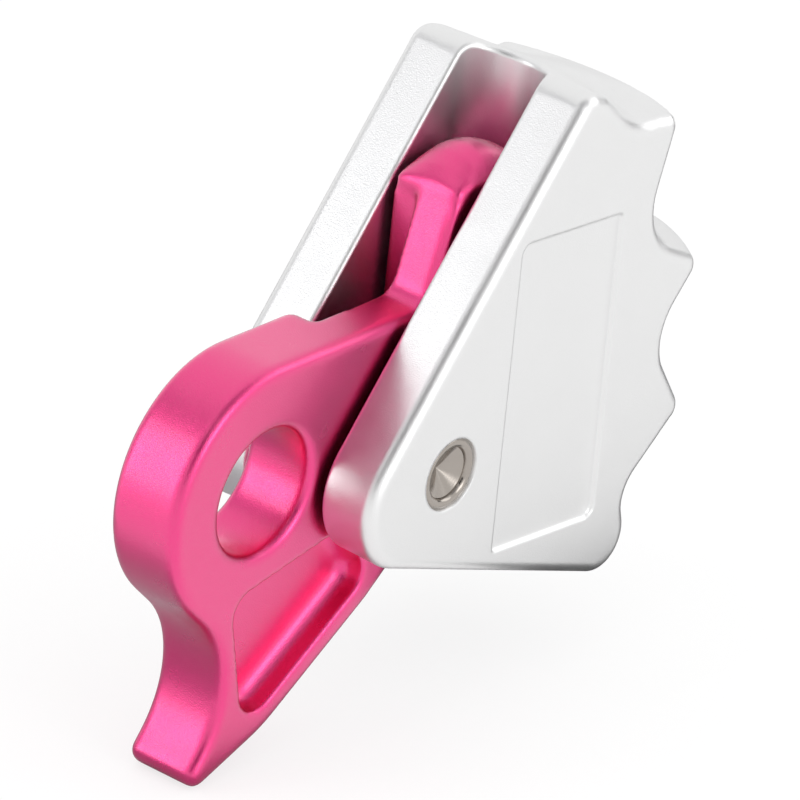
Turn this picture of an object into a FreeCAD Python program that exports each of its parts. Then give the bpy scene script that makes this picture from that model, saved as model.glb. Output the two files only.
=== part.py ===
import FreeCAD, Part
import math
import os

# Rope grab: a U-shaped housing that a rope runs through lengthwise, and a cam lever that
# turns between its cheeks and presses the rope into the round groove of its back.
# X runs along the pivot pin, +Y points from the open front to the finger grooves, and +Z
# runs along the rope. All lengths are millimetres.
# Every outline is drawn from the pivot's centre. The finished pieces are then moved so that
# the origin is on the rope's centre line, level with the pivot.

# Rope channel and housing
channel_width = 12.0
cheek_thickness = 8.0
housing_span = 46.0
cheek_edge_share = 0.037
channel_edge_round = 0.6
recess_depth = 0.5
recess_draft = 0.4

# Corners of a cheek's outer face, from the pivot: shares of housing_span backwards, upwards
# and for the corner's radius
cheek_shares = [
    (0.439, 0.976, 0.068),  # top front
    (0.517, 0.943, 0.076),  # brow above the scoop
    (0.648, 0.796, 0.230),  # scoop of the top
    (0.841, 0.804, 0.038),  # upper tooth
    (0.739, 0.446, 0.185),  # upper finger groove
    (1.004, 0.309, 0.039),  # second tooth
    (0.833, 0.113, 0.160),  # middle finger groove
    (0.991, -0.135, 0.046),  # third tooth
    (0.765, -0.322, 0.105),  # lower finger groove
    (0.846, -0.612, 0.108),  # lower back
    (-0.461, -0.128, 0.201),  # bottom front
]

# The same corners on the middle plane, where the back and the top are crowned
crown_shares = [
    (0.439, 0.976, 0.068),
    (0.554, 0.933, 0.076),
    (0.717, 0.865, 0.230),
    (0.939, 0.761, 0.038),
    (0.837, 0.446, 0.185),
    (1.135, 0.309, 0.039),
    (0.930, 0.113, 0.160),
    (1.089, -0.135, 0.046),
    (0.863, -0.322, 0.105),
    (0.944, -0.612, 0.108),
    (-0.461, -0.128, 0.201),
]

# Stations of the crowned block across the width, as shares of its half width
station_shares = [-1.0, -0.6, 0.0, 0.6, 1.0]

# Corners of the bare recess in each cheek, as shares of housing_span
recess_shares = [
    (0.216, 0.604, 0.026),
    (0.631, 0.564, 0.015),
    (0.643, -0.343, 0.030),
    (0.221, -0.305, 0.009),
]

# Pivot pin, flared at both ends into the cheeks' countersinks
pin_diameter = 8.0
pin_flare_diameter = 9.5
pin_flare_depth = 1.2
pin_recess = 0.2
pin_fit = 0.03
cone_mouth_diameter = 7.4
cone_depth = 1.75

# Cam lever
lever_thickness = 10.4
lever_span = 42.0
lever_edge_round = 1.3
lever_bore_fit = 0.06
eye_diameter = 16.6
eye_edge_round = 1.2
eye_shares = (-0.588, 0.055)
pocket_depth = 3.6
pocket_floor_round = 2.2

# Corners of the lever's plate, from the pivot: shares of lever_span backwards, upwards and
# for the corner's radius
lever_shares = [
    (0.079, 0.430, 0.071),  # foot of the head's front
    (0.181, 0.772, 0.024),  # top of the head's front
    (0.333, 0.686, 0.048),  # inside the cam's rim
    (0.381, 0.460, 0.048),  # inside the cam's rim
    (0.286, 0.174, 0.048),  # inside the cam's rim
    (0.274, -0.064, 0.095),  # back of the hub
    (0.143, -0.314, 0.119),  # below the hub
    (-0.060, -0.480, 0.119),  # lower edge
    (-0.488, -0.757, 0.476),  # lower edge
    (-0.781, -0.862, 0.040),  # tail's end, below
    (-0.810, -0.805, 0.036),  # tail's end, in front
    (-0.590, -0.517, 0.333),  # thumb curve
    (-1.631, 0.493, 0.410),  # round front about the eye
]

# Corners of the pocket in each side of the lever, as shares of lever_span
pocket_shares = [
    (-0.690, -0.268, 0.071),
    (-0.586, -0.730, 0.083),
    (-0.071, -0.392, 0.071),
    (-0.202, -0.187, 0.071),
]

# The cam's rim by its angle above the horizontal: shares of cam_radius at its left side, at
# its crest and at its right side
cam_radius = 39.0
cam_to_groove_gap = 0.78
cam_rim_shares = {
    77: (0.812, 0.847, 0.853),
    73: (0.838, 0.915, 0.872),
    69: (0.856, 0.966, 0.882),
    62: (0.870, 0.995, 0.885),
    55: (0.875, 0.995, 0.880),
    50: (0.845, 0.966, 0.848),
    44: (0.733, 0.841, 0.733),
    34: (0.564, 0.677, 0.564),
    20: (0.400, 0.490, 0.400),
    0: (0.282, 0.350, 0.282),
    -30: (0.231, 0.300, 0.231),
}
cam_root_share = 0.18
cam_rim_steps = 36

# Return spring, wound round the hub's boss in the slot on the lever's left side
wire_diameter = 1.0
coil_pitch = 1.5
coil_quarter_turns = 9
boss_wall = 1.85
boss_to_coil = 0.3
spring_slot_depth = 4.2
spring_slot_gap = 0.3
spring_floor_gap = 0.3
slot_front_share = 0.229
slot_top_share = 0.736
slot_mouth_round = 2.2
leg_length = 15.0
tang_bend = 1.3
tang_length = 2.5
tang_hole_fit = 0.25

# Thrust washers between the lever's hub and the cheeks
washer_gap = 0.05

overrun = 60.0
touch = 0.001

cheek_edge_round = cheek_edge_share * housing_span
half_width = channel_width / 2 + cheek_thickness
half_channel = channel_width / 2
half_lever = lever_thickness / 2
pin_radius = pin_diameter / 2
flare_radius = pin_flare_diameter / 2
hub_bore_radius = pin_radius + lever_bore_fit
boss_radius = hub_bore_radius + boss_wall
coil_radius = boss_radius + boss_to_coil + wire_diameter / 2
slot_radius = coil_radius + wire_diameter / 2 + spring_slot_gap
slot_floor = spring_slot_depth - half_lever
coil_right = slot_floor - spring_floor_gap - wire_diameter / 2
coil_left = coil_right - coil_pitch * coil_quarter_turns / 4
slot_front = slot_front_share * lever_span
slot_top = slot_top_share * lever_span

# The crest's farthest reach towards the rope sets how far the groove lies from the pivot
crest_reach = cam_radius * max(
    shares[1] * math.cos(math.radians(angle)) for angle, shares in cam_rim_shares.items()
)
pivot_to_rope = crest_reach + cam_to_groove_gap - half_channel


def at(x, y, z):
    return FreeCAD.Vector(x, y, z)


def polar(x, angle, radius):
    """Point at an angle above the horizontal and a distance from the pivot's axis."""
    return at(x, radius * math.cos(math.radians(angle)), radius * math.sin(math.radians(angle)))


def corner_arc(start, corner, end):
    """Arc that is tangent to both sides of a corner, from start to end."""
    to_start = (start - corner).normalize()
    to_end = (end - corner).normalize()
    half_angle = to_start.getAngle(to_end) / 2
    radius = (start - corner).Length * math.tan(half_angle)
    bisector = (to_start + to_end).normalize()
    middle = corner + bisector * (radius / math.sin(half_angle) - radius)
    return Part.Arc(start, middle, end).toShape()


def rounded_outline(rows, span, x):
    """Closed wire in the plane of x, through corners that arcs round off."""
    corners = [at(x, back * span, up * span) for back, up, _ in rows]
    arcs = []
    for index, row in enumerate(rows):
        corner = corners[index]
        to_last = (corners[index - 1] - corner).normalize()
        to_next = (corners[(index + 1) % len(rows)] - corner).normalize()
        run = row[2] * span / math.tan(to_last.getAngle(to_next) / 2)
        arcs.append((corner + to_last * run, corner, corner + to_next * run))
    edges = []
    for index, (start, corner, end) in enumerate(arcs):
        edges.append(Part.LineSegment(arcs[index - 1][2], start).toShape())
        edges.append(corner_arc(start, corner, end))
    return Part.Wire(edges)


def slab(rows, span, x, thickness):
    """Rounded outline with the given thickness from x towards +X."""
    return Part.Face(rounded_outline(rows, span, x)).extrude(at(thickness, 0, 0))


def rod(radius, x, length, y=0, z=0):
    return Part.makeCylinder(radius, length, at(x, y, z), at(1, 0, 0))


def lies_at_x(edge, x):
    """Whether an edge lies wholly in one of the two planes x and -x."""
    middle = edge.valueAt((edge.FirstParameter + edge.LastParameter) / 2)
    places = [vertex.Point for vertex in edge.Vertexes] + [middle]
    return all(abs(abs(place.x) - x) < touch for place in places)


def housing_block():
    """Crowned block: its back and top stand out most on the middle plane."""
    sections = []
    for share in station_shares:
        rise = 1 - share * share
        rows = []
        for side, middle in zip(cheek_shares, crown_shares):
            back = side[0] + (middle[0] - side[0]) * rise
            up = side[1] + (middle[1] - side[1]) * rise
            rows.append((back, up, side[2]))
        sections.append(rounded_outline(rows, housing_span, share * half_width))
    block = Part.makeLoft(sections, True, False)
    edges = [edge for edge in block.Edges if lies_at_x(edge, half_width)]
    return block.makeFillet(cheek_edge_round, edges)


def rope_channel():
    """Slot from the open front to the round groove that holds the rope."""
    low = -overrun
    slot = Part.makeBox(channel_width, overrun + pivot_to_rope, 2 * overrun)
    slot.translate(at(-half_channel, -overrun, low))
    groove = Part.makeCylinder(half_channel, 2 * overrun, at(0, pivot_to_rope, low))
    return slot.fuse(groove).removeSplitter()


def channel_rim(solid):
    """Edges where the rope channel breaks through the housing's outside."""
    rim = []
    for edge in solid.Edges:
        places = [edge.valueAt(value) for value in (edge.FirstParameter, edge.LastParameter)]
        places.append(edge.valueAt((edge.FirstParameter + edge.LastParameter) / 2))
        run = places[1] - places[0]
        upright = abs(abs(run.z) - run.Length) < touch
        inside = [
            abs(abs(place.x) - half_channel) < touch
            if place.y < pivot_to_rope + touch
            else abs(math.hypot(place.x, place.y - pivot_to_rope) - half_channel) < touch
            for place in places
        ]
        if all(inside) and not upright:
            rim.append(edge)
    return rim


def make_housing():
    body = housing_block().cut(rope_channel())
    body = body.makeFillet(channel_edge_round, channel_rim(body))
    body = body.cut(rod(pin_radius + pin_fit, -overrun, 2 * overrun))
    for side in (-1, 1):
        mouth = side * half_width
        throat = side * (half_width - pin_recess - pin_flare_depth)
        sink = side * (half_width - pin_recess)
        taper = Part.makeCone(
            pin_radius + pin_fit, flare_radius + pin_fit, pin_flare_depth,
            at(throat, 0, 0), at(side, 0, 0),
        )
        lead = Part.makeCylinder(
            flare_radius + pin_fit, pin_recess + overrun, at(sink, 0, 0), at(side, 0, 0)
        )
        body = body.cut(taper).cut(lead)
        floor = rounded_outline(recess_shares, housing_span, mouth - side * recess_depth)
        flare = floor.makeOffset2D(2 * recess_draft)
        flare.translate(at(side * 2 * recess_depth, 0, 0))
        body = body.cut(Part.makeLoft([floor, flare], True, True))
    hole_depth = tang_length + tang_hole_fit
    hole = rod(
        wire_diameter / 2 + tang_hole_fit, -half_channel - hole_depth,
        hole_depth + cheek_edge_round, tang_place().y, tang_place().z,
    )
    return body.cut(hole)


def make_pin():
    shank = rod(pin_radius, -half_width + pin_recess, 2 * (half_width - pin_recess))
    for side in (-1, 1):
        face = side * (half_width - pin_recess)
        throat = face - side * pin_flare_depth
        flare = Part.makeCone(
            pin_radius, flare_radius, pin_flare_depth, at(throat, 0, 0), at(side, 0, 0)
        )
        dimple = Part.makeCone(
            cone_mouth_diameter / 2, 0, cone_depth, at(face, 0, 0), at(-side, 0, 0)
        )
        shank = shank.fuse(flare).cut(dimple)
    return shank.removeSplitter()


def cam_rim():
    """Domed rim of the cam, swelling from the head's front to its crest."""
    angles = list(cam_rim_shares)
    rails = []
    for column, x in enumerate((-half_lever, 0, half_lever)):
        rail = Part.BSplineCurve()
        rail.interpolate(
            [polar(x, angle, cam_rim_shares[angle][column] * cam_radius) for angle in angles],
            Parameters=[angles[0] - angle for angle in angles],
        )
        rails.append(rail)
    sections = []
    for step in range(cam_rim_steps + 1):
        turn = (angles[0] - angles[-1]) * step / cam_rim_steps
        left, crest, right = (rail.value(turn) for rail in rails)
        low_left = polar(-half_lever, angles[0] - turn, cam_root_share * cam_radius)
        low_right = polar(half_lever, angles[0] - turn, cam_root_share * cam_radius)
        sections.append(Part.Wire([
            Part.LineSegment(low_left, low_right).toShape(),
            Part.LineSegment(low_right, right).toShape(),
            Part.Arc(right, crest, left).toShape(),
            Part.LineSegment(left, low_left).toShape(),
        ]))
    return Part.makeLoft(sections, True, True)


def lever_eye():
    """Cutter of the carabiner eye, which widens in a round edge at both faces."""
    back = eye_shares[0] * lever_span
    up = eye_shares[1] * lever_span
    radius = eye_diameter / 2
    cutter = rod(radius, -half_lever, lever_thickness, back, up)
    for side in (-1, 1):
        low = min(side * half_lever, side * (half_lever - eye_edge_round))
        flare = rod(radius + eye_edge_round, low, eye_edge_round, back, up)
        ring = Part.makeTorus(
            radius + eye_edge_round, eye_edge_round,
            at(side * (half_lever - eye_edge_round), back, up), at(1, 0, 0),
        )
        cutter = cutter.fuse(flare.cut(ring))
    return cutter


def lever_pocket(side):
    """Cutter of the pocket in one side, with a rounded floor."""
    floor = side * (half_lever - pocket_depth)
    low = min(floor, floor + side * overrun)
    cutter = slab(pocket_shares, lever_span, low, overrun)
    edges = [edge for edge in cutter.Edges if lies_at_x(edge, abs(floor))]
    return cutter.makeFillet(pocket_floor_round, edges)


def spring_slot():
    """Slot from the hub up into the head, open to the left, round the hub's boss."""
    depth = spring_slot_depth + overrun
    run = Part.makeBox(depth, slot_front + slot_radius, slot_top)
    run.translate(at(slot_floor - depth, -slot_front, 0))
    pit = rod(slot_radius, slot_floor - depth, depth)
    boss = rod(boss_radius, -half_lever, lever_thickness)
    return run.fuse(pit).cut(boss)


def slot_mouth(solid):
    """Edge where the arm's top meets the slot's front wall."""
    mouth = []
    for edge in solid.Edges:
        ends = [vertex.Point for vertex in edge.Vertexes]
        on_wall = all(abs(end.y + slot_front) < touch for end in ends)
        level = len(ends) == 2 and abs(ends[0].z - ends[1].z) < touch
        if on_wall and level and ends[0].z > slot_radius:
            mouth.append(edge)
    return mouth


def make_lever():
    plate = slab(lever_shares, lever_span, -half_lever, lever_thickness)
    edges = [edge for edge in plate.Edges if lies_at_x(edge, half_lever)]
    lever = plate.makeFillet(lever_edge_round, edges).fuse(cam_rim())
    lever = lever.cut(lever_eye())
    for side in (-1, 1):
        lever = lever.cut(lever_pocket(side))
    lever = lever.cut(spring_slot())
    lever = lever.makeFillet(slot_mouth_round, slot_mouth(lever))
    return lever.cut(rod(hub_bore_radius, -overrun, 2 * overrun))


def tang_place():
    """Centre of the spring's fixed tang, below the coil and just before its start."""
    return at(0, -tang_bend, -coil_radius)


def coil_point(turn):
    """Point of the coil and its direction there, by the turns left to its right end."""
    angle = -2 * math.pi * turn
    point = at(coil_right - coil_pitch * turn, coil_radius * math.cos(angle),
               coil_radius * math.sin(angle))
    climb = coil_pitch / (2 * math.pi) if 0 < turn < coil_quarter_turns / 4 else 0
    way = at(climb, -coil_radius * math.sin(angle), coil_radius * math.cos(angle))
    return point, way.normalize()


def biarc(start, start_way, end, end_way):
    """Two arcs that leave start and reach end in the given directions."""
    across = end - start
    ways = start_way + end_way
    a = 2 * (start_way.dot(end_way) - 1)
    b = -2 * across.dot(ways)
    c = across.dot(across)
    reach = (-b - math.sqrt(b * b - 4 * a * c)) / (2 * a)
    first = start + start_way * reach
    second = end - end_way * reach
    middle = (first + second) / 2
    return [corner_arc(start, first, middle), corner_arc(middle, second, end)]


def spring_path():
    corner = at(coil_left, -tang_bend, -coil_radius)
    bend_start = corner - at(tang_bend, 0, 0)
    bend_end = corner + at(0, tang_bend, 0)
    tang_end = at(-half_channel - tang_length, corner.y, corner.z)
    edges = [
        Part.LineSegment(tang_end, bend_start).toShape(),
        corner_arc(bend_start, corner, bend_end),
    ]
    for quarter in range(coil_quarter_turns, 0, -1):
        start, start_way = coil_point(quarter / 4)
        end, end_way = coil_point((quarter - 1) / 4)
        edges += biarc(start, start_way, end, end_way)
    leg_start, leg_way = coil_point(0)
    edges.append(Part.LineSegment(leg_start, leg_start + leg_way * leg_length).toShape())
    return edges


def least_coil_gap(edges):
    """Least gap of the wire to itself, over points more than half a turn apart."""
    points = []
    for edge in edges:
        points += edge.discretize(9)[:-1]
    apart = math.pi * coil_radius
    run = [0.0]
    for last, point in zip(points, points[1:]):
        run.append(run[-1] + (point - last).Length)
    gaps = [
        (points[j] - points[i]).Length - wire_diameter
        for i in range(len(points)) for j in range(i) if run[i] - run[j] > apart
    ]
    return min(gaps)


def make_spring():
    edges = spring_path()
    print("least gap of the spring to itself, mm:", round(least_coil_gap(edges), 3))
    section = Part.makeCircle(wire_diameter / 2, edges[0].Vertexes[0].Point, at(1, 0, 0))
    return Part.Wire(edges).makePipeShell([Part.Wire([section])], True, False)


def make_washer(side):
    thickness = half_channel - half_lever - 2 * washer_gap
    low = min(side * (half_lever + washer_gap), side * (half_channel - washer_gap))
    return rod(boss_radius, low, thickness).cut(rod(hub_bore_radius, -overrun, 2 * overrun))


def save(name, shape):
    placed = shape.copy()
    placed.translate(at(0, -pivot_to_rope, 0))
    placed.exportStep("parts/" + name + ".step")
    print(name, len(placed.Solids), placed.isValid(), round(placed.Volume, 1))


os.makedirs("parts", exist_ok=True)
save("housing", make_housing())
save("pivot_pin", make_pin())
save("cam_lever", make_lever())
save("return_spring", make_spring())
save("left_thrust_washer", make_washer(-1))
save("right_thrust_washer", make_washer(1))
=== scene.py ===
"""Rope grab: a blasted aluminium housing with finger grooves and a sprung pink cam lever.

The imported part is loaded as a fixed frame, each piece is dressed round it, and a plain pale
studio stands round them. Lengths in the property groups are metres, as in the frame.
"""
import math

import bmesh
import bpy
from bpy.props import FloatProperty, FloatVectorProperty, IntProperty, PointerProperty
from mathutils import Matrix, Vector
from mathutils.geometry import intersect_point_line


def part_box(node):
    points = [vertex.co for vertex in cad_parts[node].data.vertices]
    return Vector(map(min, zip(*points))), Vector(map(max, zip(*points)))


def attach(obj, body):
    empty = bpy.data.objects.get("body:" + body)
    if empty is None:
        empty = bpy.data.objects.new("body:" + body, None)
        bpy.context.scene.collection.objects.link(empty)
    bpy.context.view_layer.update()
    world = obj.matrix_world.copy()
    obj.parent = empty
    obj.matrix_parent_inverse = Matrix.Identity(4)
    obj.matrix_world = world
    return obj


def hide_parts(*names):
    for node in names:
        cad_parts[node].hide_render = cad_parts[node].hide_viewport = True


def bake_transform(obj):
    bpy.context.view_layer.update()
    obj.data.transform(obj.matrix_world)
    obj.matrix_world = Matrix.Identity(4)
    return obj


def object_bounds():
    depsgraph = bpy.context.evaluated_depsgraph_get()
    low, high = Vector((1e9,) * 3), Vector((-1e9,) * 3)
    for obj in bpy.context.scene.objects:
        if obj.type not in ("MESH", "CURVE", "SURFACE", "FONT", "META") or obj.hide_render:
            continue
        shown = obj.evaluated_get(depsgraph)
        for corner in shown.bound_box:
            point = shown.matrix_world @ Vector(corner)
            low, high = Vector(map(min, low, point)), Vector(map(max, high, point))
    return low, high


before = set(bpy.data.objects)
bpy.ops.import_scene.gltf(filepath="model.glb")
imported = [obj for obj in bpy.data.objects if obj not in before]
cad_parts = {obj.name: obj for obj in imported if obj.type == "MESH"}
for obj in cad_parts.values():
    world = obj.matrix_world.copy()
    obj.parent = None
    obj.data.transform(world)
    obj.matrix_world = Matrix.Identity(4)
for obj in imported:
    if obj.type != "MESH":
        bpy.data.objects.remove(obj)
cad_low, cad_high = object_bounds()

bl_info = {
    "name": "Rope Grab",
    "version": (1, 0, 0),
    "blender": (4, 5, 0),
    "location": "3D View > Sidebar > Rope Grab",
    "description": "Dresses a rope grab round its packed frame and sets up its studio",
    "category": "Object",
}

MM = 0.001

CREASE = math.radians(32)  # edges that turn by more than this stay sharp
WELD_GAP = 0.002 * MM  # points of a skin that are closer than this are one point
SMOOTHING = 0.5  # how far one smoothing pass moves a point towards its neighbours
PIN_STEPS = 96
WASHER_STEPS = 64
APEX_RING = 0.03  # share of the countersink at which a ring keeps its point evenly shaded

FLOOR_RADIUS = 2.5
FLOOR_RINGS = (0.1, 0.3, 0.6, 1.0)  # shares of the radius
FLOOR_GAP = 0.3 * MM  # between the part's lowest point and the floor
FLOOR_GLOW = 0.74  # share of plain white in the floor that is seen, the rest is lit card
PAINTED_SHADOW_LIFT = 0.2 * MM  # of the painted shadow sheets that lie on the floor

# Each lamp's direction from the pivot, its distance, width and height in metres.
LAMPS = {
    "key": ((-0.55, -0.74, 0.32), 0.7, 0.24, 0.52),
    "fill": ((0.93, 0.0, 0.3), 0.8, 0.34, 0.42),
    "back": ((0.45, 0.75, 0.52), 0.8, 0.6, 0.4),
}
# Shades of the sheets that only the metal's reflections see; the two that lie on the floor are
# painted shadow under and behind the part.
CLOTH_SHADES = {
    "dark_cloth": "#2A2A2C",
    "rear_painted_shadow": "#484849",
    "left_painted_shadow": "#B0B0B2",
    "grey_cloth": "#A4A4A6",
    "pale_grey_cloth": "#C4C4C6",
}
# Each flag's cloth, then its direction from the pivot, its distance, width and height.
FLAGS = {
    "camera_flag": ("dark_cloth", (0.43, -0.68, 0.56), 1.9, 1.08, 1.08),
    "key_wall": ("pale_grey_cloth", (-0.62, -0.62, 0.5), 1.1, 1.2, 1.1),
    "back_flag": ("dark_cloth", (0.1, 0.98, 0.15), 1.0, 0.5, 0.25),
    "ceiling_flag": ("grey_cloth", (0.25, -0.1, 1.0), 1.2, 1.0, 0.8),
}
# Each painted shadow that lies on the floor, a grey sheet that only the metal's reflections see:
# its middle from the pivot, its width and height.
FLOOR_PAINTED_SHADOWS = {
    "rear_painted_shadow": ((-0.087, 0.144, 0.0), 0.23, 0.24),
    "left_painted_shadow": ((-0.09, -0.021, 0.0), 0.2, 0.09),
}


def linear(hex_colour):
    """Linear red, green and blue of an sRGB hex colour."""
    channels = [int(hex_colour[start:start + 2], 16) / 255 for start in (1, 3, 5)]
    return [c / 12.92 if c <= 0.04045 else ((c + 0.055) / 1.055) ** 2.4 for c in channels]


def length(name, description, default):
    """Property for a length in metres, given in millimetres."""
    return FloatProperty(
        name=name, description=description, default=default * MM, subtype="DISTANCE",
        unit="LENGTH", precision=5,
    )


def colour(name, description, hex_colour):
    """Property for a colour, given in sRGB hex."""
    return FloatVectorProperty(
        name=name, description=description, default=linear(hex_colour), subtype="COLOR",
        min=0, max=1,
    )


class RopeGrabSizes(bpy.types.PropertyGroup):
    """Sizes of the pieces that the dressing makes or finishes."""

    edge_grid: length("Edge grid", "Cell of the remesh that softens cut edges", 0.36)
    edge_passes: IntProperty(
        name="Edge passes", description="Smoothing passes over the remeshed skin", default=6
    )
    brow_left: FloatVectorProperty(
        name="Brow left", description="Left end of the edge under the head's dome", unit="LENGTH",
        subtype="XYZ", default=(-4.5 * MM, -11.6 * MM, 31.2 * MM), precision=5,
    )
    brow_right: FloatVectorProperty(
        name="Brow right", description="Right end of the edge under the head's dome",
        unit="LENGTH", subtype="XYZ", default=(5.0 * MM, -11.2 * MM, 32.4 * MM), precision=5,
    )
    brow_reach: length("Brow reach", "How far from the brow the skin is eased", 2.6)
    brow_passes: IntProperty(
        name="Brow passes", description="Smoothing passes over the brow", default=45
    )
    pin_diameter: length("Pin diameter", "Diameter of the pivot pin's shank", 8.0)
    pin_flare_depth: length("Pin flare depth", "Length of the flare at each end", 1.2)
    pin_rim_round: length("Pin rim round", "Rounding of the rim round each countersink", 0.7)
    pin_cone_depth: length("Pin cone depth", "Depth of the countersink in each end", 2.3)
    pin_turn: length("Turning marks", "Distance between the turning marks on the pin", 0.32)
    wire_diameter: length("Wire diameter", "Diameter of the return spring's wire", 1.0)
    coil_radius: length("Coil radius", "Radius of the spring's centre line", 6.71)
    coil_pitch: length("Coil pitch", "Distance from turn to turn", 1.5)
    coil_turns: FloatProperty(name="Coil turns", description="Turns of the spring", default=2.25)
    leg_length: length("Leg length", "Straight leg up the lever's slot", 15.0)
    tang_length: length("Tang length", "Straight end in the left cheek, with its bend", 3.325)
    tang_bend: length("Tang bend", "Bend radius between the coil and the tang", 1.3)
    washer_bore: length("Washer bore", "Diameter of the hole in a thrust washer", 8.12)
    washer_round: length("Washer round", "Rounding of the thrust washers' edges", 0.12)
    broken_edge: length("Broken edge", "Round that blasting leaves on a cut edge", 0.5)
    grain: length("Blast grain", "Grain that blasting leaves, drawn coarse enough to show", 0.17)


class RopeGrabColours(bpy.types.PropertyGroup):
    """Colours of the finishes."""

    housing: colour("Housing", "Clear-anodised aluminium", "#E9E9E9")
    lever: colour("Lever", "Pink dye in the lever's anodised skin", "#EE3C86")
    pin: colour("Pin", "Turned stainless steel", "#A8A19A")
    spring: colour("Spring", "Drawn stainless wire", "#BDBBB8")
    washer: colour("Washer", "Natural acetal", "#E6E4DC")
    floor: colour("Floor", "Matt white card", "#FDFDFD")


class RopeGrabStudio(bpy.types.PropertyGroup):
    """Place of the camera and strength of the lamps."""

    azimuth: FloatProperty(
        name="Azimuth", description="Turn of the camera round the part",
        default=math.radians(37.2), subtype="ANGLE",
    )
    elevation: FloatProperty(
        name="Elevation", description="Height of the camera above the horizon",
        default=math.radians(27.3), subtype="ANGLE",
    )
    roll: FloatProperty(
        name="Roll", description="Turn of the camera about its own line of sight",
        default=math.radians(6.0), subtype="ANGLE",
    )
    distance: length("Distance", "Distance from the camera to the pivot", 1400)
    frame_width: length("Frame width", "Width that the picture takes in at the pivot", 97.56)
    aim_right: length("Aim right", "How far right of the pivot the camera aims", 4.43)
    aim_up: length("Aim up", "How far above the pivot the camera aims", 4.07)
    key_power: FloatProperty(
        name="Key", description="Power of the key lamp, W", default=0.93, unit="POWER"
    )
    fill_power: FloatProperty(
        name="Fill", description="Power of the fill lamp, W", default=1.05, unit="POWER"
    )
    back_power: FloatProperty(
        name="Back", description="Power of the back lamp, W", default=0.75, unit="POWER"
    )


def add_node(tree, kind, inputs=None, **settings):
    """Adds a node with its settings, and gives its inputs values or other nodes' outputs."""
    node = tree.nodes.new(kind)
    for name, value in settings.items():
        setattr(node, name, value)
    for name, value in (inputs or {}).items():
        if isinstance(value, bpy.types.NodeSocket):
            tree.links.new(value, node.inputs[name])
        else:
            node.inputs[name].default_value = value
    return node


def new_material(name):
    """Empty node material and its tree."""
    material = bpy.data.materials.new(name)
    material.use_nodes = True
    material.node_tree.nodes.clear()
    return material, material.node_tree


def blast_bump(tree, place, sizes, depth, strength):
    """Bump of a blasted skin with broken edges: fine round dents all over."""
    edges = add_node(tree, "ShaderNodeBevel", {"Radius": sizes.broken_edge}, samples=6)
    fine = add_node(tree, "ShaderNodeTexNoise", {
        "Vector": place, "Scale": 1 / sizes.grain, "Detail": 1.5, "Roughness": 0.6,
    })
    return add_node(tree, "ShaderNodeBump", {
        "Height": fine.outputs["Fac"], "Strength": strength, "Distance": depth,
        "Normal": edges.outputs["Normal"],
    }).outputs["Normal"]


def varied_roughness(tree, place, patch, low, high):
    """Roughness that drifts between two values over patches of a real size."""
    patches = add_node(tree, "ShaderNodeTexNoise", {
        "Vector": place, "Scale": 1 / patch, "Detail": 3.0,
    })
    return add_node(tree, "ShaderNodeMapRange", {
        "Value": patches.outputs["Fac"], "From Min": 0.3, "From Max": 0.7,
        "To Min": low, "To Max": high,
    }).outputs["Result"]


def clear_anodised_blasted_aluminium(sizes, colours):
    """Bead-blasted, clear-anodised aluminium: a pale satin metal that smears every reflection
    into soft light, with a fine sparkle where a lamp grazes it."""
    material, tree = new_material("clear_anodised_blasted_aluminium")
    place = add_node(tree, "ShaderNodeTexCoord").outputs["Object"]
    shader = add_node(tree, "ShaderNodeBsdfPrincipled", {
        "Base Color": (*colours.housing, 1), "Metallic": 1.0,
        "Roughness": varied_roughness(tree, place, patch=6 * MM, low=0.33, high=0.39),
        "Normal": blast_bump(tree, place, sizes, depth=0.03 * MM, strength=0.8),
    })
    add_node(tree, "ShaderNodeOutputMaterial", {"Surface": shader.outputs["BSDF"]})
    return material


def pink_anodised_aluminium(sizes, colours):
    """Satin aluminium with a pink-dyed anodic skin: the metal's reflections take the dye's
    colour, and the clear skin over it adds a thin pale sheen at grazing angles."""
    material, tree = new_material("pink_anodised_satin_aluminium")
    place = add_node(tree, "ShaderNodeTexCoord").outputs["Object"]
    shader = add_node(tree, "ShaderNodeBsdfPrincipled", {
        "Base Color": (*colours.lever, 1), "Metallic": 1.0,
        "Roughness": varied_roughness(tree, place, patch=5 * MM, low=0.27, high=0.34),
        "Normal": blast_bump(tree, place, sizes, depth=0.06 * MM, strength=0.7),
        "Coat Weight": 1.0, "Coat Roughness": 0.25,
    })
    add_node(tree, "ShaderNodeOutputMaterial", {"Surface": shader.outputs["BSDF"]})
    return material


def turned_stainless_steel(sizes, colours):
    """Turned stainless steel: bright metal with fine rings round the pin's axis, which draw
    its highlights out into a fan in the countersunk end."""
    material, tree = new_material("turned_stainless_steel")
    place = add_node(tree, "ShaderNodeTexCoord").outputs["Object"]
    middle = (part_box("pivot_pin")[0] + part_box("pivot_pin")[1]) / 2
    centred = add_node(tree, "ShaderNodeMapping", {
        "Vector": place, "Location": (0, -middle.y, -middle.z), "Scale": (0, 1, 1),
    })
    radius = add_node(
        tree, "ShaderNodeVectorMath", {0: centred.outputs["Vector"]}, operation="LENGTH"
    )
    rings = add_node(tree, "ShaderNodeMath", {
        0: radius.outputs["Value"], 1: math.tau / sizes.pin_turn,
    }, operation="MULTIPLY")
    ridge = add_node(tree, "ShaderNodeMath", {0: rings.outputs["Value"]}, operation="SINE")
    marks = add_node(tree, "ShaderNodeBump", {
        "Height": ridge.outputs["Value"], "Strength": 0.3, "Distance": 0.004 * MM,
    })
    shader = add_node(tree, "ShaderNodeBsdfPrincipled", {
        "Base Color": (*colours.pin, 1), "Metallic": 1.0,
        "Roughness": varied_roughness(tree, place, patch=1.5 * MM, low=0.16, high=0.23),
        "Anisotropic": 0.85, "Tangent": centred.outputs["Vector"],
        "Normal": marks.outputs["Normal"],
    })
    add_node(tree, "ShaderNodeOutputMaterial", {"Surface": shader.outputs["BSDF"]})
    return material


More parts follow.
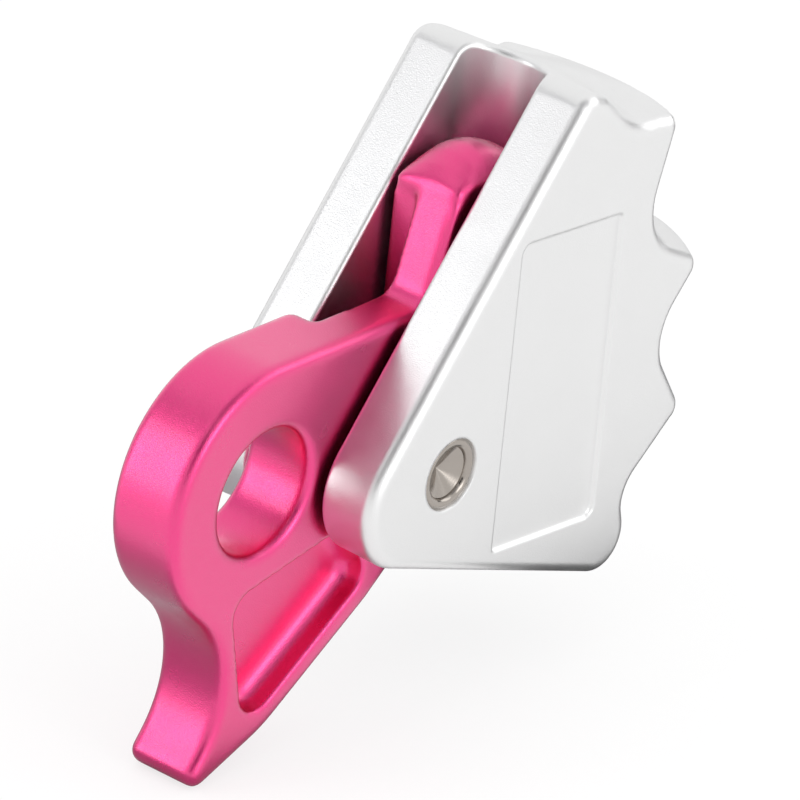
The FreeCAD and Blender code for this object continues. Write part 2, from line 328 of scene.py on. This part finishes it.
def drawn_spring_wire(colours):
    """Drawn stainless wire: a smooth grey metal with faint lengthwise draw marks."""
    material, tree = new_material("drawn_stainless_wire")
    place = add_node(tree, "ShaderNodeTexCoord").outputs["Object"]
    draw = add_node(tree, "ShaderNodeTexNoise", {
        "Vector": place, "Scale": 1 / (0.3 * MM), "Detail": 3.0,
    })
    bump = add_node(tree, "ShaderNodeBump", {
        "Height": draw.outputs["Fac"], "Strength": 0.2, "Distance": 0.01 * MM,
    })
    shader = add_node(tree, "ShaderNodeBsdfPrincipled", {
        "Base Color": (*colours.spring, 1), "Metallic": 1.0,
        "Roughness": varied_roughness(tree, place, patch=2 * MM, low=0.25, high=0.34),
        "Normal": bump.outputs["Normal"],
    })
    add_node(tree, "ShaderNodeOutputMaterial", {"Surface": shader.outputs["BSDF"]})
    return material


def natural_acetal(colours):
    """Machined natural acetal: a milky, faintly waxy white plastic."""
    material, tree = new_material("natural_acetal")
    place = add_node(tree, "ShaderNodeTexCoord").outputs["Object"]
    shader = add_node(tree, "ShaderNodeBsdfPrincipled", {
        "Base Color": (*colours.washer, 1),
        "Roughness": varied_roughness(tree, place, patch=2 * MM, low=0.38, high=0.5),
        "IOR": 1.48, "Subsurface Weight": 0.1, "Subsurface Scale": 0.5 * MM,
    })
    add_node(tree, "ShaderNodeOutputMaterial", {"Surface": shader.outputs["BSDF"]})
    return material


def white_card(colours):
    """Matt white card: it shows as plain pale ground, and keeps the part's soft shadow."""
    material, tree = new_material("matt_white_card")
    place = add_node(tree, "ShaderNodeTexCoord").outputs["Object"]
    fibres = add_node(tree, "ShaderNodeTexNoise", {
        "Vector": place, "Scale": 1 / (1.2 * MM), "Detail": 2.0,
    })
    bump = add_node(tree, "ShaderNodeBump", {
        "Height": fibres.outputs["Fac"], "Strength": 0.1, "Distance": 0.02 * MM,
    })
    paper = add_node(tree, "ShaderNodeBsdfPrincipled", {
        "Base Color": (*colours.floor, 1), "Roughness": 0.9,
        "Normal": bump.outputs["Normal"],
    })
    glow = add_node(tree, "ShaderNodeEmission", {"Color": (1, 1, 1, 1), "Strength": 1.0})
    seen = add_node(tree, "ShaderNodeMath", {
        0: seen_ray(tree), 1: FLOOR_GLOW,
    }, operation="MULTIPLY")
    mixed = add_node(tree, "ShaderNodeMixShader", {
        0: seen.outputs["Value"], 1: paper.outputs["BSDF"], 2: glow.outputs["Emission"],
    })
    add_node(tree, "ShaderNodeOutputMaterial", {"Surface": mixed.outputs["Shader"]})
    return material


def seen_ray(tree):
    """1 for the rays that the camera, a gloss or a glass sees, and 0 for those that light."""
    path = add_node(tree, "ShaderNodeLightPath")
    gloss = add_node(tree, "ShaderNodeMath", {
        0: path.outputs["Is Camera Ray"], 1: path.outputs["Is Glossy Ray"],
    }, operation="MAXIMUM")
    return add_node(tree, "ShaderNodeMath", {
        0: gloss.outputs["Value"], 1: path.outputs["Is Transmission Ray"],
    }, operation="MAXIMUM").outputs["Value"]


def new_object(name, mesh):
    """Object that shows a mesh, linked to the scene."""
    piece = bpy.data.objects.new(name, mesh)
    bpy.context.scene.collection.objects.link(piece)
    return piece


def baked(piece):
    """Plain mesh of the piece with its modifiers, in place of the old one."""
    graph = bpy.context.evaluated_depsgraph_get()
    mesh = bpy.data.meshes.new_from_object(piece.evaluated_get(graph))
    mesh.name = piece.name
    piece.modifiers.clear()
    piece.data = mesh
    return mesh


def merged_copy(node, name):
    """Copy of a CAD node with its loose triangles joined, shaded smooth but for its creases."""
    skin = bmesh.new()
    skin.from_mesh(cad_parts[node].data)
    bmesh.ops.remove_doubles(skin, verts=skin.verts, dist=WELD_GAP)
    return smooth_piece(name, skin)


def smooth_piece(name, skin):
    """Object from a skin, shaded smooth but for the edges that turn sharply."""
    for face in skin.faces:
        face.smooth = True
    for edge in skin.edges:
        edge.smooth = edge.calc_face_angle(0) < CREASE
    mesh = bpy.data.meshes.new(name)
    skin.to_mesh(mesh)
    skin.free()
    return new_object(name, mesh)


def soften_edges(piece, sizes):
    """Even skin over the whole piece, whose cut edges come out as rounded as tumbling leaves
    them."""
    grid = piece.modifiers.new("even grid", "REMESH")
    grid.mode = "VOXEL"
    grid.voxel_size = sizes.edge_grid
    grid.use_smooth_shade = True
    round_off = piece.modifiers.new("tumbled", "SMOOTH")
    round_off.factor = SMOOTHING
    round_off.iterations = sizes.edge_passes
    mesh = baked(piece)
    mesh.shade_smooth()


def ease_brow(piece, sizes):
    """Rounds the edge under the head's dome more than the rest: fully over the inner half of
    the reach, and less and less over the outer half."""
    left, right = Vector(sizes.brow_left), Vector(sizes.brow_right)
    brow = piece.vertex_groups.new(name="brow")
    for vertex in piece.data.vertices:
        nearest, share = intersect_point_line(vertex.co, left, right)
        nearest = left.lerp(right, min(max(share, 0), 1))
        weight = 1 - (vertex.co - nearest).length / sizes.brow_reach
        if weight > 0:
            brow.add([vertex.index], min(1, 2 * weight), "REPLACE")
    ease = piece.modifiers.new("eased brow", "SMOOTH")
    ease.vertex_group = brow.name
    ease.factor = SMOOTHING
    ease.iterations = sizes.brow_passes
    baked(piece)
    piece.vertex_groups.clear()


def even_shading(piece):
    """Smooth shading in which the broad flat faces stay flat up to their rounded edges."""
    lead = piece.modifiers.new("broad faces lead", "WEIGHTED_NORMAL")
    lead.mode = "FACE_AREA"
    lead.weight = 100
    lead.keep_sharp = True
    baked(piece)


def dress(piece, material, body, node):
    """Gives a finished piece its material in a material slot and its body, and hides the imported
    node that it takes the place of.
    """
    piece.data.materials.clear()
    piece.data.materials.append(material)
    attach(piece, body)
    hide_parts(node)


def lathe(name, profile, centre, steps):
    """Solid turned about X through centre, from (x, radius) points that run from axis to axis
    or form a ring."""
    skin = bmesh.new()
    points = [skin.verts.new((x, centre.y, centre.z + radius)) for x, radius in profile]
    closed = profile[0][1] > 0
    pairs = list(zip(points, points[1:] + points[:1] if closed else points[1:]))
    edges = [skin.edges.new(pair) for pair in pairs]
    bmesh.ops.spin(
        skin, geom=points + edges, cent=centre, axis=(1, 0, 0), angle=math.tau, steps=steps,
        use_merge=True,
    )
    bmesh.ops.remove_doubles(skin, verts=skin.verts, dist=WELD_GAP)
    bmesh.ops.recalc_face_normals(skin, faces=skin.faces)
    return smooth_piece(name, skin)


def round_corner(x, radius, dx, dr, size, steps=4):
    """Points of a quarter round at a corner, from the side along dr to the side along dx."""
    points = []
    for step in range(steps + 1):
        turn = math.pi / 2 * step / steps
        points.append((
            x + dx * size * (1 - math.sin(turn)), radius + dr * size * (1 - math.cos(turn))
        ))
    return points


class RopeGrabHousing(bpy.types.Operator):
    """Dress the housing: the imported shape, blasted and anodised, with lightly broken edges."""

    bl_idname = "rope_grab.housing"
    bl_label = "Housing"

    def execute(self, context):
        sizes = context.scene.rope_grab_sizes
        material = clear_anodised_blasted_aluminium(sizes, context.scene.rope_grab_colours)
        piece = merged_copy("housing", "blasted_housing")
        even_shading(piece)
        dress(piece, material, "housing", "housing")
        return {"FINISHED"}


class RopeGrabLever(bpy.types.Operator):
    """Dress the cam lever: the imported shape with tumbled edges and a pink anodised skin."""

    bl_idname = "rope_grab.lever"
    bl_label = "Cam lever"

    def execute(self, context):
        sizes = context.scene.rope_grab_sizes
        material = pink_anodised_aluminium(sizes, context.scene.rope_grab_colours)
        piece = merged_copy("cam_lever", "pink_cam_lever")
        soften_edges(piece, sizes)
        ease_brow(piece, sizes)
        dress(piece, material, "cam", "cam_lever")
        return {"FINISHED"}


class RopeGrabPin(bpy.types.Operator):
    """Turn the pivot pin, with its flared rims and countersunk ends."""

    bl_idname = "rope_grab.pin"
    bl_label = "Pivot pin"

    def execute(self, context):
        sizes = context.scene.rope_grab_sizes
        low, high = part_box("pivot_pin")
        centre = (low + high) / 2
        end = (high.x - low.x) / 2
        flare = (high.z - low.z) / 2
        shank = sizes.pin_diameter / 2
        rim = sizes.pin_rim_round
        depth, mouth = sizes.pin_cone_depth, flare - 2 * rim
        half = [
            (end - depth + (depth - rim) * share, mouth * share) for share in (0, APEX_RING)
        ]
        half += round_corner(end, mouth, -1, 1, rim)
        half += round_corner(end, flare, -1, -1, rim)[::-1]
        half += [(end - sizes.pin_flare_depth, shank), (0, shank)]
        profile = half + [(-x, radius) for x, radius in half[-2::-1]]
        piece = lathe("turned_pivot_pin", profile, centre, PIN_STEPS)
        material = turned_stainless_steel(sizes, context.scene.rope_grab_colours)
        dress(piece, material, "housing", "pivot_pin")
        return {"FINISHED"}


def wire_tree(material):
    """Node tree that winds a spring about X as one wire: leg, coil, bend and tang."""
    tree = bpy.data.node_groups.new("return spring wire", "GeometryNodeTree")
    for kind, names in {
        "NodeSocketFloat": ("Wire Radius", "Coil Radius", "Coil Length", "Turns", "Bend Radius"),
        "NodeSocketVector": (
            "Coil Place", "Bend Place", "Leg Foot", "Leg Tip", "Tang Foot", "Tang Tip",
        ),
    }.items():
        for name in names:
            tree.interface.new_socket(name, in_out="INPUT", socket_type=kind)
    tree.interface.new_socket("Geometry", in_out="OUTPUT", socket_type="NodeSocketGeometry")
    given = add_node(tree, "NodeGroupInput").outputs
    about_x = Matrix(((0, 0, -1), (1, 0, 0), (0, -1, 0))).to_euler()
    coil = add_node(tree, "GeometryNodeTransform", {
        "Geometry": add_node(tree, "GeometryNodeCurveSpiral", {
            "Resolution": 72, "Rotations": given["Turns"], "Start Radius": given["Coil Radius"],
            "End Radius": given["Coil Radius"], "Height": given["Coil Length"],
        }).outputs["Curve"],
        "Translation": given["Coil Place"], "Rotation": about_x,
    }).outputs["Geometry"]
    bend = add_node(tree, "GeometryNodeTransform", {
        "Geometry": add_node(tree, "GeometryNodeCurveArc", {
            "Resolution": 12, "Radius": given["Bend Radius"], "Start Angle": -math.pi / 2,
            "Sweep Angle": math.pi / 2,
        }).outputs["Curve"],
        "Translation": given["Bend Place"],
    }).outputs["Geometry"]
    leg = add_node(tree, "GeometryNodeCurvePrimitiveLine", {
        "Start": given["Leg Foot"], "End": given["Leg Tip"],
    }).outputs["Curve"]
    tang = add_node(tree, "GeometryNodeCurvePrimitiveLine", {
        "Start": given["Tang Foot"], "End": given["Tang Tip"],
    }).outputs["Curve"]
    runs = add_node(tree, "GeometryNodeJoinGeometry")
    for run in (leg, coil, bend, tang):
        tree.links.new(run, runs.inputs["Geometry"])
    edges = add_node(tree, "GeometryNodeCurveToMesh", {"Curve": runs.outputs["Geometry"]})
    chain = add_node(tree, "GeometryNodeMergeByDistance", {
        "Geometry": edges.outputs["Mesh"], "Distance": 0.02 * MM,
    })
    line = add_node(tree, "GeometryNodeMeshToCurve", {"Mesh": chain.outputs["Geometry"]})
    section = add_node(tree, "GeometryNodeCurvePrimitiveCircle", {
        "Resolution": 16, "Radius": given["Wire Radius"],
    })
    wire = add_node(tree, "GeometryNodeCurveToMesh", {
        "Curve": line.outputs["Curve"], "Profile Curve": section.outputs["Curve"],
        "Fill Caps": True,
    })
    smooth = add_node(tree, "GeometryNodeSetShadeSmooth", {"Geometry": wire.outputs["Mesh"]})
    real = add_node(
        tree, "GeometryNodeRealizeInstances", {"Geometry": smooth.outputs["Geometry"]}
    )
    painted = add_node(tree, "GeometryNodeSetMaterial", {
        "Geometry": real.outputs["Geometry"], "Material": material,
    })
    add_node(tree, "NodeGroupOutput", {"Geometry": painted.outputs["Geometry"]})
    return tree


def run_tree(piece, tree, values):
    """Runs a node tree on a piece with named values, and keeps its result as plain mesh."""
    modifier = piece.modifiers.new(tree.name, "NODES")
    modifier.node_group = tree
    for item in tree.interface.items_tree:
        if item.item_type == "SOCKET" and item.in_out == "INPUT" and item.name in values:
            modifier[item.identifier] = values[item.name]
    return baked(piece)


class RopeGrabSpring(bpy.types.Operator):
    """Wind the return spring, which twists between the housing and the lever."""

    bl_idname = "rope_grab.spring"
    bl_label = "Return spring"

    def execute(self, context):
        sizes = context.scene.rope_grab_sizes
        spring_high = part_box("return_spring")[1]
        pin_low, pin_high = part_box("pivot_pin")
        axis = (pin_low + pin_high) / 2
        right_end = spring_high.x - sizes.wire_diameter / 2
        left_end = right_end - sizes.coil_pitch * sizes.coil_turns
        reach, bend = sizes.coil_radius, sizes.tang_bend
        material = drawn_spring_wire(context.scene.rope_grab_colours)
        piece = new_object("wound_return_spring", bpy.data.meshes.new("wound_return_spring"))
        mesh = run_tree(piece, wire_tree(material), {
            "Wire Radius": sizes.wire_diameter / 2, "Coil Radius": reach,
            "Coil Length": right_end - left_end, "Turns": sizes.coil_turns, "Bend Radius": bend,
            "Coil Place": (right_end, 0, 0), "Bend Place": (left_end - bend, 0, -reach),
            "Leg Foot": (right_end, reach, 0), "Leg Tip": (right_end, reach, sizes.leg_length),
            "Tang Foot": (left_end - bend, -bend, -reach),
            "Tang Tip": (left_end - sizes.tang_length, -bend, -reach),
        })
        mesh.transform(Matrix.Translation(Vector((0, axis.y, axis.z))))
        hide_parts("return_spring")
        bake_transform(piece)
        return {"FINISHED"}


class RopeGrabWashers(bpy.types.Operator):
    """Turn the two thrust washers that keep the lever central between the cheeks."""

    bl_idname = "rope_grab.washers"
    bl_label = "Thrust washers"

    def execute(self, context):
        sizes = context.scene.rope_grab_sizes
        material = natural_acetal(context.scene.rope_grab_colours)
        for side in ("left", "right"):
            node = side + "_thrust_washer"
            low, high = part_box(node)
            centre = (low + high) / 2
            outer = (high.z - low.z) / 2
            inner = sizes.washer_bore / 2
            size = sizes.washer_round
            profile = round_corner(low.x, outer, 1, -1, size)
            profile += round_corner(high.x, outer, -1, -1, size)[::-1]
            profile += round_corner(high.x, inner, -1, 1, size)
            profile += round_corner(low.x, inner, 1, 1, size)[::-1]
            middle = Vector((0, centre.y, centre.z))
            piece = lathe("turned_" + node, profile, middle, WASHER_STEPS)
            dress(piece, material, "housing", node)
        return {"FINISHED"}


def area_lamp(name, power, target):
    """Soft lamp in its direction from the target, facing it."""
    towards, distance, width, height = LAMPS[name]
    lamp = bpy.data.lights.new(name, "AREA")
    lamp.shape = "RECTANGLE"
    lamp.size = width
    lamp.size_y = height
    lamp.energy = power
    holder = bpy.data.objects.new(name, lamp)
    bpy.context.scene.collection.objects.link(holder)
    direction = Vector(towards).normalized()
    holder.location = target + direction * distance
    holder.rotation_mode = "QUATERNION"
    holder.rotation_quaternion = (-direction).to_track_quat("-Z", "Y")


def flag(name, material, towards, distance, width, height, target):
    """Cloth on a frame in a direction from the target, which only the metal's reflections see: a
    painted reflection, which they show as the dark side of its edges, and, for the sheets that
    lie on the floor, as painted shadow under and behind the part."""
    low, high = Vector((-width / 2, -height / 2, 0)), Vector((width / 2, height / 2, 0))
    mesh = bpy.data.meshes.new(name)
    corners = [low, (high.x, low.y, 0), high, (low.x, high.y, 0)]
    mesh.from_pydata(corners, [], [(0, 1, 2, 3)])
    mesh.materials.append(material)
    cloth = new_object(name, mesh)
    direction = Vector(towards).normalized()
    cloth.location = target + direction * distance
    cloth.rotation_mode = "QUATERNION"
    cloth.rotation_quaternion = direction.to_track_quat("-Z", "Y")
    cloth.visible_camera = False
    cloth.visible_diffuse = False
    cloth.visible_shadow = False


def grey_cloth(name, hex_colour):
    """Matt grey cloth, woven finely, seen only in reflections: it gives the metal a dull dark
    shape to reflect, and on the floor it is painted shadow under the part.
    """
    material, tree = new_material(name)
    place = add_node(tree, "ShaderNodeTexCoord").outputs["Object"]
    weave = add_node(tree, "ShaderNodeTexNoise", {
        "Vector": place, "Scale": 1 / (2 * MM), "Detail": 2.0,
    })
    bump = add_node(tree, "ShaderNodeBump", {
        "Height": weave.outputs["Fac"], "Strength": 0.2, "Distance": 0.2 * MM,
    })
    cloth = add_node(tree, "ShaderNodeBsdfPrincipled", {
        "Base Color": (*linear(hex_colour), 1), "Roughness": 0.95,
        "Normal": bump.outputs["Normal"],
    })
    add_node(tree, "ShaderNodeOutputMaterial", {"Surface": cloth.outputs["BSDF"]})
    return material


def studio_world():
    """Plain white room."""
    world = bpy.data.worlds.new("studio")
    bpy.context.scene.world = world
    world.use_nodes = True
    tree = world.node_tree
    tree.nodes.clear()
    background = add_node(tree, "ShaderNodeBackground", {
        "Color": (1, 1, 1, 1), "Strength": 1.0,
    })
    add_node(tree, "ShaderNodeOutputWorld", {"Surface": background.outputs["Background"]})


def floor_disc(radius, height, steps=96):
    """Round floor, in rings that get wider outwards."""
    skin = bmesh.new()
    centre = skin.verts.new((0, 0, height))
    last = None
    for share in FLOOR_RINGS:
        ring = []
        for step in range(steps):
            turn = math.tau * step / steps
            ring.append(skin.verts.new((
                radius * share * math.cos(turn), radius * share * math.sin(turn), height
            )))
        for step in range(steps):
            after = (step + 1) % steps
            if last is None:
                skin.faces.new((centre, ring[step], ring[after]))
            else:
                skin.faces.new((last[step], ring[step], ring[after], last[after]))
        last = ring
    mesh = bpy.data.meshes.new("floor")
    skin.to_mesh(mesh)
    skin.free()
    return new_object("floor", mesh)


class RopeGrabStage(bpy.types.Operator):
    """Set up the floor, the lamps, the room light and the camera."""

    bl_idname = "rope_grab.stage"
    bl_label = "Stage"

    def execute(self, context):
        studio = context.scene.rope_grab_studio
        low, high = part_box("pivot_pin")
        pivot = (low + high) / 2
        ground = cad_low.z - FLOOR_GAP
        floor = floor_disc(FLOOR_RADIUS, ground)
        floor.data.materials.append(white_card(context.scene.rope_grab_colours))
        area_lamp("key", studio.key_power, pivot)
        area_lamp("fill", studio.fill_power, pivot)
        area_lamp("back", studio.back_power, pivot)
        cloths = {name: grey_cloth(name, shade) for name, shade in CLOTH_SHADES.items()}
        for name, (cloth, *place) in FLAGS.items():
            flag(name, cloths[cloth], *place, pivot)
        # Painted shadow: grey sheets just above the floor, under and behind the part, that only
        # the metal's reflections see.
        drop = pivot.z - ground - PAINTED_SHADOW_LIFT
        for name, (middle, width, height) in FLOOR_PAINTED_SHADOWS.items():
            flag(name, cloths[name], (0, 0, -1), drop, width, height, pivot + Vector(middle))
        studio_world()
        self.place_camera(context, studio, pivot)
        context.scene.view_settings.view_transform = "Standard"
        return {"FINISHED"}

    def place_camera(self, context, studio, pivot):
        """Long lens at the photograph's angle, aimed beside the pivot."""
        azimuth, elevation = studio.azimuth, studio.elevation
        back = Vector((
            math.sin(azimuth) * math.cos(elevation), -math.cos(azimuth) * math.cos(elevation),
            math.sin(elevation),
        ))
        level = Vector((math.cos(azimuth), math.sin(azimuth), 0))
        upright = back.cross(level)
        right = level * math.cos(studio.roll) + upright * math.sin(studio.roll)
        up = back.cross(right)
        data = bpy.data.cameras.new("camera")
        data.lens = data.sensor_width * studio.distance / studio.frame_width
        data.clip_start = studio.distance / 100
        data.clip_end = studio.distance * 10
        camera = bpy.data.objects.new("camera", data)
        context.scene.collection.objects.link(camera)
        turn = Matrix((right, up, back)).transposed()
        aim = pivot + right * studio.aim_right + up * studio.aim_up
        camera.rotation_mode = "QUATERNION"
        camera.rotation_quaternion = turn.to_quaternion()
        camera.location = aim + back * studio.distance
        context.scene.camera = camera


class RopeGrabPanel(bpy.types.Panel):
    """Sizes, colours and steps of the rope grab."""

    bl_idname = "VIEW3D_PT_rope_grab"
    bl_label = "Rope Grab"
    bl_space_type = "VIEW_3D"
    bl_region_type = "UI"
    bl_category = "Rope Grab"

    def draw(self, context):
        for group in ("rope_grab_sizes", "rope_grab_colours", "rope_grab_studio"):
            settings = getattr(context.scene, group)
            box = self.layout.box()
            for name in settings.bl_rna.properties.keys():
                if name not in ("rna_type", "name"):
                    box.prop(settings, name)
        for step in STEPS:
            self.layout.operator(step.bl_idname)


GROUPS = {
    "rope_grab_sizes": RopeGrabSizes,
    "rope_grab_colours": RopeGrabColours,
    "rope_grab_studio": RopeGrabStudio,
}
STEPS = (
    RopeGrabHousing, RopeGrabLever, RopeGrabPin, RopeGrabSpring, RopeGrabWashers, RopeGrabStage,
)


def register():
    """Registers the settings, the steps and the panel."""
    for group in (*GROUPS.values(), *STEPS, RopeGrabPanel):
        bpy.utils.register_class(group)
    for name, group in GROUPS.items():
        setattr(bpy.types.Scene, name, PointerProperty(type=group))


def unregister():
    """Takes away what register() added."""
    for name in GROUPS:
        delattr(bpy.types.Scene, name)
    for group in (RopeGrabPanel, *reversed(STEPS), *reversed(GROUPS.values())):
        bpy.utils.unregister_class(group)


def main():
    """Registers the add-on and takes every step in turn."""
    register()
    for step in STEPS:
        group, name = step.bl_idname.split(".")
        getattr(getattr(bpy.ops, group), name)()


if __name__ == "__main__":
    main()
